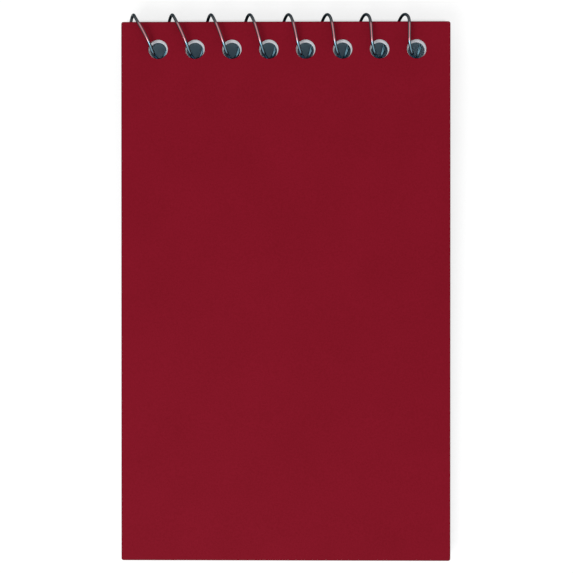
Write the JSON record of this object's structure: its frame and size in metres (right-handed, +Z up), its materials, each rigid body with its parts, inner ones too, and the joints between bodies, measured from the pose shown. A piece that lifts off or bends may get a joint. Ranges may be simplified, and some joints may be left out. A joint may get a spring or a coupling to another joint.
{
  "type": "reporter notebook",
  "caption": "Pocket reporter notebook with plain card cover, bound along its head by one spiral wire; the front cover opens.",
  "frame": {"origin": "middle of the bounding box's underside, on the surface that the pad lies on", "axes": "+Z up out of the front cover, +Y toward the bound head, +X to the right as the front is read"},
  "size_m": [0.0762, 0.1274, 0.011],
  "materials": {
    "board": "uncoated grey board",
    "paper": "uncoated white writing paper",
    "red_card": "plain dark red card, smooth and even",
    "wire": "dark bright-drawn wire"
  },
  "bodies": {
    "pad": {"page_block": "paper", "back_cover": "board"},
    "coil": {"spiral_wire": "wire"},
    "cover": {"front_cover": "red_card"}
  },
  "joints": [
    {"name": "front_cover_hinge", "type": "hinge", "parent": "pad", "child": "cover", "pos_m": [0, 0.05983, 0.00539], "axis": [-1, 0, 0], "range_deg": [0, 88]},
    {"name": "coil_turn", "type": "hinge", "parent": "pad", "child": "coil", "pos_m": [0, 0.05939, 0.00338], "axis": [-1, 0, 0], "range_deg": [0, 58]}
  ],
  "couplings": [
    {"joint": "coil_turn", "follows": "front_cover_hinge", "ratio": 0.657}
  ]
}
